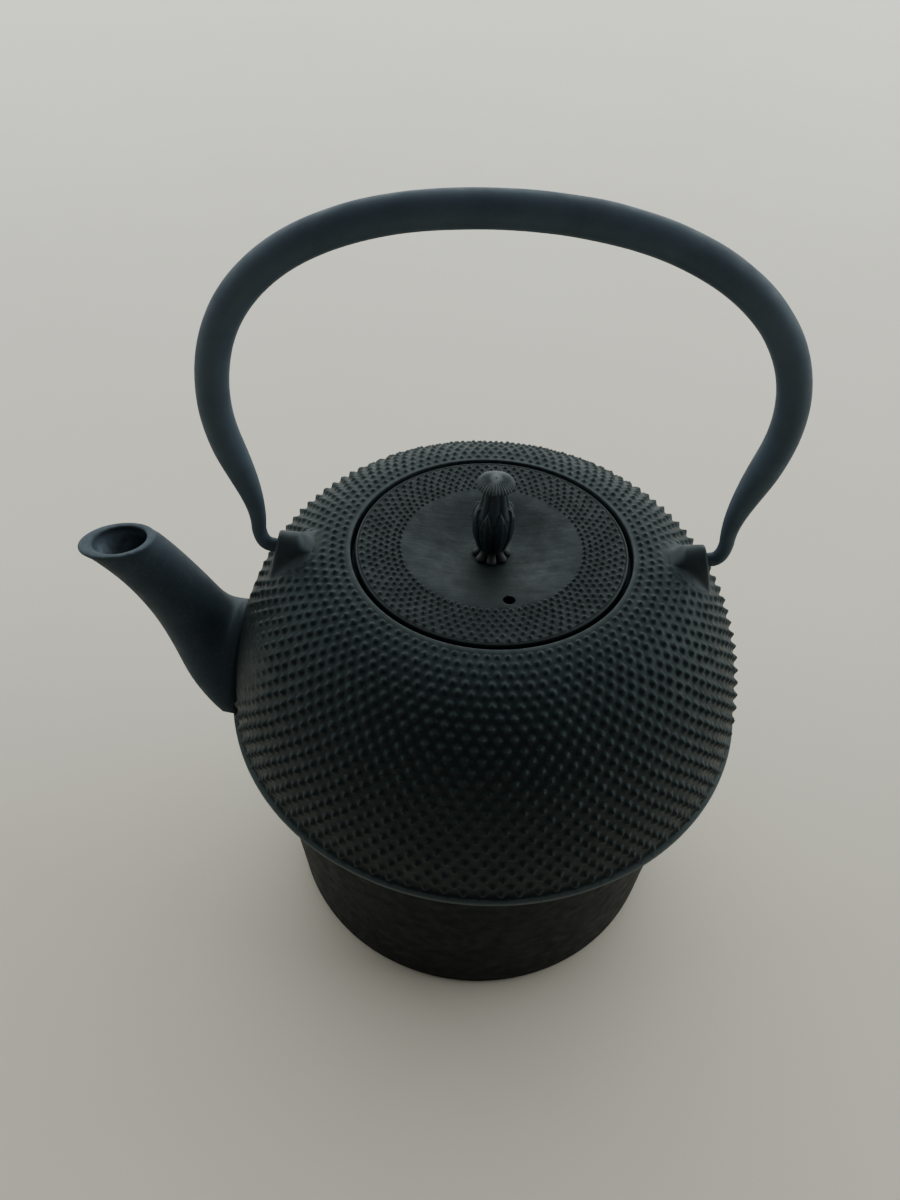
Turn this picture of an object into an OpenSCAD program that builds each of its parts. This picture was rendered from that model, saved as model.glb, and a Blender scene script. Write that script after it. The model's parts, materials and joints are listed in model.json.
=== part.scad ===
// Cast iron kettle-style teapot: hobnail body with a ledge, spout and lugs,
// a drop-in lid with a bud knob, and a hinged bail handle.
// Millimetres. The origin is the centre of the base, +Z is up, the spout points along -X.

/* [Body] */
// Diameter of the recess that the lid drops into
mouth_d = 88; // [84:1:92]
// Diameter over the ledge, the widest part of the body
ledge_d = 176; // [172:1:180]
// Height of the ledge above the table
ledge_z = 93; // [90:1:96]
// Height of the mouth above the table
rim_z = 155.3; // [153:0.1:158]
// Diameter of the flat base
base_d = 143; // [136:1:148]
// Diameter of the lower body, just under the ledge
drum_d = 155.5; // [150:0.5:160]
// Thickness of the iron wall
wall = 3.5; // [3:0.1:4]
// Thickness of the iron floor
floor_t = 4.5; // [4:0.1:6]

/* [Spout] */
// Distance of the lip's centre from the kettle's axis
lip_x = 118.1; // [114:0.1:124]
// Height of the lip's centre above the table
lip_z = 152; // [148:0.1:158]
// Slope of the lip, rising towards the kettle
lip_slope = 6.4; // [0:0.2:12]
// Diameter of the hole from the body into the spout
pour_hole_d = 20; // [16:1:22]

/* [Lid] */
// Gap all round between the lid and the mouth
lid_gap = 1.5; // [1:0.1:2]
// Thickness of the lid at its rim
lid_t = 4.6; // [4:0.1:5]
// Depth of the dished centre of the lid
dish_depth = 3.5; // [2:0.1:4]
// Diameter of the steam vent
vent_d = 3.8; // [3:0.1:5]

/* [Knob] */
// Height of the knob above its seat
knob_h = 26.5; // [24:0.5:30]
// Diameter of the knob's bud at its fullest
bud_d = 12.8; // [12:0.2:14]
// Diameter of the knob's cap
cap_d = 11.4; // [10:0.2:12]
// Diameter of the riveted stem that holds the knob
stem_d = 4; // [3.6:0.1:4.4]

/* [Handle] */
// Height of the handle's centre line above the pivot
bail_h = 107.7; // [100:0.1:116]
// Half of the handle's width, at its centre line
bail_x = 79.3; // [77:0.1:82]
// How far the crown of the hand-bent bar stands off the middle, towards the spout
crown_off = 4.5; // [0:0.1:6]
// Diameter of the handle over the top and the upper arms
bail_d = 9.3; // [8.4:0.1:10]
// Diameter of the pin at each end of the handle
pin_d = 4; // [3.6:0.1:4.4]
// Height of the pivot above the table
pivot_z = 152.2; // [151:0.1:154]
// Distance of each lug's outer face from the kettle's axis
lug_x = 67.6; // [66.5:0.1:68.5]

/* [Hidden] */
iron = "#26292b";
satin_iron = "#33383b";
grey_iron = "#6b7072";
round_fn = 96;
fit_gap = 0.05;            // radial running clearance of pins and stem
touch_gap = 0.02;          // parts of one body that rest on each other
mouth_r = mouth_d / 2;
ledge_r = ledge_d / 2;
base_r = base_d / 2;
drum_r = drum_d / 2;
lid_r = mouth_r - lid_gap;
seat_z = rim_z - lid_t - fit_gap;
throat_r = mouth_r - 5.5;  // clear opening below the lid's seat

// Point at t on the cubic Bezier curve with the control points p
function bezier(p, t) =
    pow(1 - t, 3) * p[0] + 3 * pow(1 - t, 2) * t * p[1] + 3 * (1 - t) * t * t * p[2] + pow(t, 3) * p[3];

// n steps along the curve, leaving out the first point unless from is 0
function bezier_steps(p, n, from = 1) = [for (i = [from:n]) bezier(p, i / n)];

// Value at t of the parabola through a, m and b at t = 0, 0.5 and 1
function through(a, m, b, t) = a * (1 - t) * (1 - 2 * t) + m * 4 * t * (1 - t) - b * t * (1 - 2 * t);

// Triangles and quads that join rings of count points each, one after the other
function ring_faces(rings, count, first = 0) = [
    for (i = [0:rings - 2]) for (j = [0:count - 1])
        [first + i * count + j, first + (i + 1) * count + j,
         first + (i + 1) * count + (j + 1) % count, first + i * count + (j + 1) % count]];

// ---- Body ----

lip_band = 1.5;            // plain band round the mouth
dome_curve = [[mouth_r + lip_band, rim_z - 0.3], [mouth_r + 25.5, rim_z - 0.3],
              [ledge_r - 2.2, ledge_z + 32.8], [ledge_r - 0.8, ledge_z + 0.6]];
dome_steps = 24;
dome_outline = concat([[mouth_r, rim_z], [mouth_r + lip_band - 0.4, rim_z]],
                      bezier_steps(dome_curve, dome_steps, 0), [[ledge_r, ledge_z]],
                      [[ledge_r, ledge_z - 1.8]]);
// Under the ledge, down the lower body and round its bottom edge
foot_round = 3;
lower_outline = concat(
    bezier_steps([[ledge_r, ledge_z - 1.8], [ledge_r - 2, ledge_z - 4], [drum_r + 1.5, ledge_z - 3],
                  [drum_r, ledge_z - 9]], 6),
    [for (a = [0:15:90]) [base_r - foot_round * (1 - cos(a)), foot_round * (1 - sin(a))]]);
// The inside, from the centre of the floor up to the collar under the lid's seat
collar_r = mouth_r + 2;
inner_dome = [[ledge_r - wall - 0.8, ledge_z + 3], [ledge_r - wall - 2, ledge_z + 31.5],
              [mouth_r + 24, rim_z - wall - 2.3], [collar_r + 4, rim_z - wall - 1]];
inner_outline = concat(
    [[0, floor_t], [base_r - wall - 2, floor_t], [base_r - wall, floor_t + 2.5],
     [drum_r - wall, ledge_z - 5], [drum_r - wall + 2, ledge_z - 0.6],
     [ledge_r - wall - 2, ledge_z + 0.6]],
    bezier_steps(inner_dome, dome_steps, 0),
    [[collar_r, seat_z - wall], [throat_r, seat_z - wall], [throat_r, seat_z], [mouth_r, seat_z]]);

module body_solid() {
    rotate_extrude($fn = round_fn)
        polygon(concat([[0, rim_z]], dome_outline, lower_outline, [[0, 0]]));
}

module body_shell() {
    color(iron) difference() {
        rotate_extrude($fn = round_fn)
            polygon(concat(dome_outline, lower_outline, [[0, 0]], inner_outline));
        translate([-ledge_r, 0, spout_root_z]) rotate([0, 90, 0])
            cylinder(d = pour_hole_d, h = 4 * wall, $fn = round_fn);
    }
}

// ---- Spout ----

spout_root_z = ledge_z + 16.9;
spout_root = [-ledge_r + 3.6, spout_root_z];
spout_lip = [-lip_x, lip_z];
root_rise = -8.4;          // direction in which the spout leaves the body, in degrees of rise
lip_rise = 45.6;            // how steeply it arrives at the lip
spout_curve = [spout_root, spout_root + 17.3 * [-cos(root_rise), sin(root_rise)],
               spout_lip - 34.8 * [-cos(lip_rise), sin(lip_rise)], spout_lip];
spout_rings = 18;
spout_sides = 36;

// Slope of the section plane at t: along the body's wall at the root, along the lip at the end
function section_slope(t) = through(79.4, 24, lip_slope, t);

// The root is egg-shaped: it lies lower than its curve, is widest below its middle and narrow on top
root_drop = 2.7;
root_sag = 8.3;
root_egg = 0.26;
root_depth = 1.5;          // how deep the first ring starts inside the wall, before the body is cut away
// Radius of the body's outside at a height
function body_radius(z) = lookup(z, [for (p = dome_outline) [p[1], p[0]]]);

// One ring, from half of its length along the section, half of its width and its shift along the section
function spout_ring(t, long, wide, shift = 0) =
    let (c = bezier(spout_curve, t), s = section_slope(t), near = pow(1 - t, 5))
    [for (j = [0:spout_sides - 1])
        let (a = 360 * j / spout_sides,
             along = long * cos(a) + shift - near * (root_drop + root_sag * pow(sin(a), 2)),
             y = wide * sin(a) * (1 - root_egg * near * cos(a)), z = c[1] + along * sin(s))
        [t == 0 ? -sqrt(pow(body_radius(z) - root_depth, 2) - y * y) : c[0] + along * cos(s), y, z]];

module spout() {
    outside = [for (i = [0:spout_rings]) let (t = i / spout_rings)
        each spout_ring(t, through(16.3, 10.9, 12.7, t), through(22.2, 13, 8.6, t))];
    inside = [for (i = [0:spout_rings]) let (t = i / spout_rings)
        each spout_ring(t, through(13.2, 8.3, 8.8, t), through(19, 10.3, 6.6, t), 0.8 * t * t)];
    ring_count = spout_rings + 1;
    last = spout_rings * spout_sides;
    shift = ring_count * spout_sides;
    ends = [for (end = [0, last]) for (j = [0:spout_sides - 1])
        let (k = (j + 1) % spout_sides, q = [end + j, end + k, shift + end + k, shift + end + j])
        end == 0 ? q : [q[3], q[2], q[1], q[0]]];
    color(satin_iron) difference() {
        polyhedron(
            points = concat(outside, inside),
            faces = concat(ring_faces(ring_count, spout_sides),
                           [for (f = ring_faces(ring_count, spout_sides, shift)) [f[3], f[2], f[1], f[0]]],
                           ends));
        body_solid();
    }
}

// ---- Lugs ----

lug_w = 10;                // width over the rounded top
lug_len = 11.2;
lug_foot = 16;             // width of the foot at its inner end
lug_drop = 10;             // depth of the foot below the pivot
lug_lean = 2.5;            // how far the outer face stands out at its foot, from the pivot down
lug_dip = 2.8;             // fall of the rounded top to its inner end
pin_depth = 6;

// side is -1 for the spout's side and 1 for the other
module lug(side) {
    top_fn = 32;
    foot_in = side * (lug_x - lug_len);
    foot_out = side * (lug_x + lug_lean);
    top_x = lug_x - lug_lean * lug_w / 2 / lug_drop;
    difference() {
        hull() {
            translate([side * top_x, 0, pivot_z]) rotate([0, -side * 90, 0])
                cylinder(d = lug_w, h = 0.6, $fn = top_fn);
            translate([side * (lug_x - lug_len), 0, pivot_z - lug_dip]) rotate([0, side * 90, 0])
                cylinder(d = lug_w - 1, h = 0.6, $fn = top_fn);
            translate([0, 0, pivot_z - lug_drop - 2]) linear_extrude(2)
                polygon([[foot_in, lug_foot / 2], [foot_out, lug_w / 2 + 0.8],
                         [foot_out, -lug_w / 2 - 0.8], [foot_in, -lug_foot / 2]]);
        }
        body_solid();
        translate([side * (lug_x + 1), 0, pivot_z]) rotate([0, -side * 90, 0])
            cylinder(r = pin_d / 2 + fit_gap, h = pin_depth + 1, $fn = round_fn);
    }
}

module lug_left() {
    color(satin_iron) lug(-1);
}

module lug_right() {
    color(satin_iron) lug(1);
}

// ---- Lid ----

dish_r = 28;               // where the dished centre begins
flat_r = 7;                // flat in the middle, under the knob
dish_z = rim_z - dish_depth;
plate_t = 3.8;
vent_pos = [5, -24.1];
skirt_r = throat_r - 1;
skirt_t = 3;
skirt_h = 7;
dish_sink = plate_t + 0.6; // depth of the underside below the lid's top, across the dish
under_z = dish_z - dish_sink;

// Height of the lid's top at a radius
function lid_top(r) = r >= dish_r ? rim_z
    : r <= flat_r ? dish_z
    : dish_z + dish_depth * (1 - cos(180 * (r - flat_r) / (dish_r - flat_r))) / 2;

module lid_plate() {
    dish = [for (r = [flat_r:3:dish_r]) r];
    top = concat([[0, dish_z]], [for (r = dish) [r, lid_top(r)]],
                 [[dish_r, rim_z], [lid_r - 0.6, rim_z], [lid_r, rim_z - 0.6]]);
    under = concat([[lid_r, rim_z - lid_t], [skirt_r, rim_z - lid_t], [skirt_r, rim_z - lid_t - skirt_h],
                    [skirt_r - skirt_t + 1, rim_z - lid_t - skirt_h], [skirt_r - skirt_t, rim_z - lid_t]],
                   [for (i = [len(dish) - 1:-1:0]) [dish[i], lid_top(dish[i]) - dish_sink]],
                   [[0, under_z]]);
    color(iron) difference() {
        rotate_extrude($fn = round_fn) polygon(concat(top, under));
        translate([0, 0, dish_z - 2 * plate_t])
            cylinder(r = stem_d / 2 + fit_gap, h = 3 * plate_t, $fn = round_fn);
        translate([vent_pos[0], vent_pos[1], rim_z - 4 * plate_t])
            cylinder(d = vent_d, h = 5 * plate_t, $fn = round_fn);
    }
}

// ---- Knob ----

seat_h = 3;                // height of the petalled seat
seat_d = 12.4;
seat_petals = 8;
seat_top_z = dish_z + touch_gap + seat_h;
head_h = 1.5;
head_d = 6.6;
washer_t = 1;
washer_d = 9;

module knob() {
    neck_z = knob_h - 3.5;
    bud_r = bud_d / 2;
    cap_r = cap_d / 2;
    bud = bezier_steps([[4.4, 0], [bud_r + 1.4, neck_z * 0.3], [bud_r + 0.9, neck_z * 0.66],
                        [3.5, neck_z * 0.95]], 12, 0);
    cap = bezier_steps([[cap_r, neck_z + 1.4], [cap_r * 0.95, knob_h - 0.9], [cap_r * 0.5, knob_h],
                        [0, knob_h]], 8);
    color(grey_iron) translate([0, 0, seat_top_z + touch_gap]) difference() {
        rotate_extrude($fn = round_fn)
            polygon(concat([[0, 0]], bud, [[3.6, neck_z], [cap_r - 1, neck_z + 0.3], [cap_r, neck_z + 0.8]],
                           [[cap_r, neck_z + 1.4]], cap));
        translate([0, 0, -1]) cylinder(r = stem_d / 2 + touch_gap, h = 11, $fn = round_fn);
    }
}

module knob_seat() {
    color(satin_iron) translate([0, 0, dish_z + touch_gap]) difference() {
        cylinder(d1 = seat_d, d2 = seat_d - 1.6, h = seat_h, $fn = round_fn);
        for (i = [0:seat_petals - 1])
            rotate([0, 0, 360 * (i + 0.5) / seat_petals]) translate([seat_d / 2 + 0.5, 0, -1])
                cylinder(d = 2.4, h = seat_h + 2, $fn = 32);
        translate([0, 0, -1]) cylinder(r = stem_d / 2 + touch_gap, h = seat_h + 2, $fn = round_fn);
    }
}

module knob_stem() {
    head_z = under_z - washer_t - 2 * touch_gap;
    color(satin_iron) {
        translate([0, 0, head_z]) cylinder(d = stem_d, h = seat_top_z + 9 - head_z, $fn = round_fn);
        translate([0, 0, head_z - head_h])
            cylinder(d1 = head_d - 1.4, d2 = head_d, h = head_h, $fn = round_fn);
    }
}

module stem_washer() {
    color(satin_iron)
        translate([0, 0, under_z - washer_t - touch_gap]) difference() {
            cylinder(d = washer_d, h = washer_t, $fn = round_fn);
            translate([0, 0, -1]) cylinder(r = stem_d / 2 + fit_gap, h = washer_t + 2, $fn = round_fn);
        }
}

// ---- Handle ----

hook_x = lug_x + 4.4;      // where the arm stands, outside its lug
hook_z = 7;                // height over the pivot where the hook ends and the arm begins
widest_z = 51;             // height over the pivot where the arms stand furthest apart
crown_reach = 54;          // length of the curve's handle along the crown
hook_r = pin_d / 2 + 0.25; // radius of the bar at its hooks
full_z = 38;               // height over the pivot from which the bar has its full thickness
bail_sides = 20;
// One side's centre line, from the pin up the arm to the crown, as [x, height over the pivot]
hook_curve = [[lug_x + 0.9, 0], [hook_x - 1, 0.2], [hook_x + 0.2, 2.2], [hook_x + 0.3, hook_z]];
arm_curve = [[hook_x + 0.3, hook_z], [hook_x - 1.5, 22.6], [bail_x, widest_z - 16], [bail_x, widest_z]];
function half_line(side) =
    let (crown_x = -side * crown_off,
         top_curve = [[bail_x, widest_z], [bail_x, widest_z + 30.7], [crown_x + crown_reach, bail_h],
                      [crown_x, bail_h]])
    [for (p = concat(bezier_steps(hook_curve, 6, 0), bezier_steps(arm_curve, 8), bezier_steps(top_curve, 14)))
        [side * p[0], p[1]]];
right_line = half_line(1);
bail_line = concat(half_line(-1), [for (i = [len(right_line) - 2:-1:0]) right_line[i]]);

// Radius of the bar at a height over the pivot: slim at the hooks, full from part way up the arms
function bar_radius(z) =
    let (u = min(1, max(0, (z - 4) / (full_z - 4)))) hook_r + (bail_d / 2 - hook_r) * u * u * (3 - 2 * u);

function bail_ring(i) =
    let (last = len(bail_line) - 1, p = bail_line[i],
         d = bail_line[min(last, i + 1)] - bail_line[max(0, i - 1)],
         n = [-d[1], d[0]] / norm(d), r = bar_radius(p[1]))
    [for (j = [0:bail_sides - 1]) let (a = 360 * j / bail_sides)
        [p[0] + r * cos(a) * n[0], r * sin(a), p[1] + r * cos(a) * n[1]]];

module bail_handle() {
    count = len(bail_line);
    points = [for (i = [0:count - 1]) each bail_ring(i)];
    first_cap = [for (j = [bail_sides - 1:-1:0]) j];
    last_cap = [for (j = [0:bail_sides - 1]) (count - 1) * bail_sides + j];
    color(satin_iron) translate([0, 0, pivot_z]) {
        polyhedron(points = points, faces = concat(ring_faces(count, bail_sides), [first_cap, last_cap]));
        for (side = [-1, 1])
            translate([side * (lug_x - pin_depth + 0.4), 0, 0]) rotate([0, side * 90, 0])
                cylinder(d = pin_d, h = pin_depth + 1.6, $fn = round_fn);
    }
}

body_shell();
spout();
lug_left();
lug_right();
lid_plate();
knob();
knob_seat();
knob_stem();
stem_washer();
bail_handle();
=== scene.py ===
"""Looks of the cast iron teapot: a hobnail kettle with a spout, a drop-in lid and a bail handle."""

import json

import bpy
import numpy as np
from mathutils import Matrix, Vector


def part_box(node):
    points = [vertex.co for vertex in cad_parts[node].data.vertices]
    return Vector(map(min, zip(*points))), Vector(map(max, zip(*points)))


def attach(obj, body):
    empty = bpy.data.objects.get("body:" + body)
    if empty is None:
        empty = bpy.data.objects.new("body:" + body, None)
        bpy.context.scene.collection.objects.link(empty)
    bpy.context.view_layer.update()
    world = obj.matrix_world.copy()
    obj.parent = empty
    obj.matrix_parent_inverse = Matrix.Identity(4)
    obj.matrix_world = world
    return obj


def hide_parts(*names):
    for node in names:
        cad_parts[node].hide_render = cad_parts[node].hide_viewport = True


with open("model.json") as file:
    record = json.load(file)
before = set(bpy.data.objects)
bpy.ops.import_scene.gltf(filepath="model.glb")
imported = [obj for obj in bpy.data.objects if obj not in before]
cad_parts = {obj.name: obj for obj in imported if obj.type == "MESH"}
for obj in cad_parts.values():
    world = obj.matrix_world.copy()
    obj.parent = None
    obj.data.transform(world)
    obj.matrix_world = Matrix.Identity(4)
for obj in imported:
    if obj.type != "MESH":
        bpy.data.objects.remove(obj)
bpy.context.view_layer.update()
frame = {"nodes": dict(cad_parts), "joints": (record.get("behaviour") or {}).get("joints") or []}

MM = 0.001


def span(node):
    """Lowest and highest corner of a CAD node, in millimetres."""
    low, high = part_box(node)
    return np.array(low) / MM, np.array(high) / MM


# Driving sizes in millimetres. Those that the frame holds are read from it.
BODY_HIGH = span("body_shell")[1]
LEDGE_R = BODY_HIGH[0]
RIM_Z = BODY_HIGH[2]
MOUTH_R = 44.0
LEDGE_Z = 93.0
DRUM_R = 77.75
BASE_R = 71.5
WALL = 3.5
FLOOR_T = 4.5
LID_R = 42.5
LID_T = 4.6
DISH_R = 28.0
DISH_DEPTH = 3.5
DISH_Z = RIM_Z - DISH_DEPTH
LUG_X = 67.6               # distance of each lug's outer face from the axis, at the pivot
PIN_R = 2.0
BORE_R = 2.1
BAR_R = 4.65               # half the handle bar's full thickness
PIVOT_Z = next(j for j in frame["joints"] if j["name"] == "handle_swing")["pos_m"][2] / MM
BAIL_H = span("bail_handle")[1][2] - PIVOT_Z - BAR_R
CROWN_OFF = 4.5            # how far the handle's crown stands off the middle, towards the spout
NAILS = 98                 # hobnails in each ring of the body
NAIL_COLUMNS = 12          # mesh columns for each hobnail
NAIL_STEPS = 8             # mesh rows for each row of hobnails
NAIL_SPREAD = 0.80         # width of a hobnail's foot, as a share of the room between its neighbours
LID_NAILS = 82
PLAIN = 4                  # a plain surface has one mesh column for this many of the hobnails' columns


# ---- Curves and noise ----

def bezier(points, t):
    """Points at t on the cubic Bezier curve with four control points."""
    p = np.array(points, float)
    t = np.atleast_1d(t)[:, None]
    return (1 - t) ** 3 * p[0] + 3 * (1 - t) ** 2 * t * p[1] + 3 * (1 - t) * t * t * p[2] + t ** 3 * p[3]


def through(a, m, b, t):
    """Value at t of the parabola through a, m and b at t = 0, 0.5 and 1."""
    return a * (1 - t) * (1 - 2 * t) + m * 4 * t * (1 - t) - b * t * (1 - 2 * t)


def smooth(low, high, x):
    """0 below low, 1 above high and a smooth step between them."""
    t = np.clip((x - low) / (high - low), 0, 1)
    return t * t * (3 - 2 * t)


def arc(centre, radius, start, end, steps):
    """Points of a circular arc, angles in degrees."""
    a = np.radians(np.linspace(start, end, steps))
    return np.stack([centre[0] + radius * np.cos(a), centre[1] + radius * np.sin(a)], 1)


def resample(outline, step):
    """The outline with points added so that none are further apart than step."""
    out = [outline[0]]
    for a, b in zip(outline[:-1], outline[1:]):
        count = max(1, int(np.ceil(np.linalg.norm(b - a) / step)))
        out += [a + (b - a) * (k + 1) / count for k in range(count)]
    return np.array(out)


def outline_normals(outline):
    """Unit normals to the left of the direction in which the outline runs."""
    d = np.gradient(outline, axis=0)
    n = np.stack([-d[:, 1], d[:, 0]], 1)
    return n / np.linalg.norm(n, axis=1, keepdims=True)


def waves(points, size, seed, count=14):
    """Smooth noise from -1 to 1 with features of about that size, at points in millimetres."""
    rng = np.random.default_rng(seed)
    total = np.zeros(points.shape[:-1])
    for _ in range(count):
        way = rng.normal(size=3)
        way *= 2 * np.pi / size / np.linalg.norm(way) * rng.uniform(0.6, 1.5)
        total += np.sin(points @ way + rng.uniform(0, 2 * np.pi))
    return total / count ** 0.5 / 1.6


# ---- Meshes ----

def make_piece(name, points, faces, wear_and_painted_light=None):
    """A smooth-shaded mesh object from points in millimetres and faces of equal length."""
    mesh = bpy.data.meshes.new(name)
    loops = np.concatenate([np.asarray(f, np.int32).ravel() for f in faces])
    sizes = np.concatenate([np.full(len(f), np.asarray(f).shape[1], np.int32) for f in faces])
    starts = np.concatenate([[0], np.cumsum(sizes)[:-1]]).astype(np.int32)
    mesh.vertices.add(len(points))
    mesh.vertices.foreach_set("co", (np.asarray(points, np.float32) * MM).ravel())
    mesh.loops.add(len(loops))
    mesh.loops.foreach_set("vertex_index", loops)
    mesh.polygons.add(len(sizes))
    mesh.polygons.foreach_set("loop_start", starts)
    mesh.update(calc_edges=True)
    mesh.validate()
    if signed_volume(points, faces) < 0:
        mesh.flip_normals()
    mesh.polygons.foreach_set("use_smooth", np.ones(len(mesh.polygons), bool))
    values = np.zeros(len(points)) if wear_and_painted_light is None else np.asarray(wear_and_painted_light, float).ravel()
    mesh.attributes.new("wear_and_painted_light", "FLOAT", "POINT").data.foreach_set("value", values)
    piece = bpy.data.objects.new(name, mesh)
    bpy.context.scene.collection.objects.link(piece)
    return piece


def signed_volume(points, faces):
    """Volume inside the faces, negative if they face inwards."""
    p = np.asarray(points, float)
    total = 0.0
    for group in faces:
        g = np.asarray(group)
        for k in range(1, g.shape[1] - 1):
            total += np.einsum("ij,ij->i", p[g[:, 0]], np.cross(p[g[:, k]], p[g[:, k + 1]])).sum()
    return total / 6


def ring_quads(rows, columns, closed=False, first=0):
    """Quads between rings that follow one another; closed joins the last ring to the first one."""
    i = np.arange(rows if closed else rows - 1)[:, None]
    j = np.arange(columns)[None, :]
    k, up = (j + 1) % columns, (i + 1) % rows
    corners = [i * columns + j, up * columns + j, up * columns + k, i * columns + k]
    return first + np.stack(corners, -1).reshape(-1, 4)


def pole_fan(pole, first, columns):
    """Triangles from one point to a ring."""
    j = np.arange(columns)
    return np.stack([np.full(columns, pole), first + j, first + (j + 1) % columns], 1)


def ring_joins(low, high, columns, share, wide_low):
    """Faces between a ring of columns points and one of columns / share points.

    wide_low says that the first ring is the one with more points."""
    few = np.arange(columns // share)
    after = (few + 1) % len(few)
    many = (few[:, None] * share + np.arange(share + 1)) % columns
    if wide_low:
        return np.column_stack([high + few, high + after, low + many[:, ::-1]])
    return np.column_stack([low + few, high + many, low + after])


def turned(name, radius, z, angles, wear_and_painted_light=None, closed=False):
    """A turned piece from radius and z, rows by columns. Unless closed, its ends run to the axis."""
    rows, columns = radius.shape
    points = np.stack([radius * np.cos(angles), radius * np.sin(angles), z], -1).reshape(-1, 3)
    faces = [ring_quads(rows, columns, closed)]
    values = None if wear_and_painted_light is None else wear_and_painted_light.ravel()
    if not closed:
        ends = [[0, 0, z[0].mean()], [0, 0, z[-1].mean()]]
        points = np.concatenate([points, ends])
        fans = [pole_fan(rows * columns, 0, columns)[:, ::-1],
                pole_fan(rows * columns + 1, (rows - 1) * columns, columns)]
        faces.append(np.concatenate(fans))
        values = None if wear_and_painted_light is None else np.concatenate([values, [0, 0]])
    return make_piece(name, points, faces, values)


def cut_round_hole(piece, centre, axis, radius, length):
    """Cuts a round hole, all in millimetres, and keeps the shading smooth."""
    bpy.ops.mesh.primitive_cylinder_add(vertices=64, radius=radius * MM, depth=length * MM,
                                        location=Vector(centre) * MM)
    cutter = bpy.context.object
    cutter.rotation_mode = "QUATERNION"
    cutter.rotation_quaternion = Vector(axis).to_track_quat("Z", "Y")
    modifier = piece.modifiers.new("hole", "BOOLEAN")
    modifier.operation, modifier.solver, modifier.object = "DIFFERENCE", "EXACT", cutter
    bpy.context.view_layer.update()
    evaluated = piece.evaluated_get(bpy.context.evaluated_depsgraph_get())
    mesh = bpy.data.meshes.new_from_object(evaluated)
    piece.modifiers.clear()
    old, piece.data = piece.data, mesh
    bpy.data.meshes.remove(old)
    bpy.data.objects.remove(cutter)
    mesh.name = piece.name


def hobnails(u, v, across, along, count, seed):
    """Height from 0 to 1 of staggered hobnails: u counts them round the ring, v counts the rows.

    across and along are the spacing round the ring and from row to row, in millimetres."""
    rng = np.random.default_rng(seed)
    rows = int(np.ceil(v.max())) + 3
    size = 1 + 0.09 * rng.normal(size=(rows, count)).clip(-2, 2)
    shift_u = 0.12 * rng.normal(size=(rows, count)).clip(-2, 2)
    shift_v = 0.12 * rng.normal(size=(rows, count)).clip(-2, 2)
    reach = NAIL_SPREAD * np.minimum(across, np.hypot(across / 2, along)) / 2
    total = np.zeros(np.broadcast(u, v).shape)
    for step in (0, 1):
        row = np.floor(v).astype(int) + step
        offset = 0.5 * (row % 2)
        nail = np.round(u - offset).astype(int)
        at = (row.clip(0, rows - 1), nail % count)
        du = (u - offset - nail) * across - shift_u[at]
        dv = (v - row) * along - shift_v[at]
        d = np.minimum(np.hypot(du, dv) / reach, 1)
        total = np.maximum(total, size[at] * (1 - d ** 1.4) ** 1.4)
    return total


# ---- Body ----

NAIL_H = 1.35
NAIL_FOOT = 0.15           # share of a hobnail's height by which the ground between them is lowered
RIM_BAND = 0.36            # plain band between the mouth and the first row, in rows
FIRST_ROW = 1.15           # arc length from the mouth's band to the first row
ROW_PITCH = 3.045
ROWS = 26
DOME = [[MOUTH_R + 1.5, RIM_Z - 0.3], [MOUTH_R + 25.5, RIM_Z - 0.3],
        [LEDGE_R - 2.2, LEDGE_Z + 32.8], [LEDGE_R - 1.5, LEDGE_Z + 0.6]]
HOLE_Z = LEDGE_Z + 16.9
HOLE_R = 10.0


def row_place(v):
    """Arc length down the dome at row v; the rows are a little further apart near the ledge."""
    return FIRST_ROW + ROW_PITCH * v + 0.055 * np.maximum(0, v - 19) ** 2


def dome_points(length):
    """Points of the dome's outline at arc lengths from the mouth's band."""
    fine = bezier(DOME, np.linspace(0, 1, 2000))
    run = np.concatenate([[0], np.cumsum(np.linalg.norm(np.diff(fine, axis=0), axis=1))])
    return np.stack([np.interp(length, run, fine[:, 0]), np.interp(length, run, fine[:, 1])], 1), run[-1]


def plain_near_fittings(x, y, z):
    """0 to 1: how far the hobnails stand out, which they do less beside the lugs and the spout."""
    keep = np.ones(x.shape)
    for side in (-1, 1):
        near = np.hypot((side * x - 62) / 9.5, y / 9.5)
        keep *= 0.05 + 0.95 * smooth(0.75, 1.3, near)
    spout = np.hypot(y / 44, (z - HOLE_Z - 0.4 * np.abs(y)) / 24)
    return keep * np.where(x < 0, 0.15 + 0.85 * smooth(0.66, 1.1, spout), 1)


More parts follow.
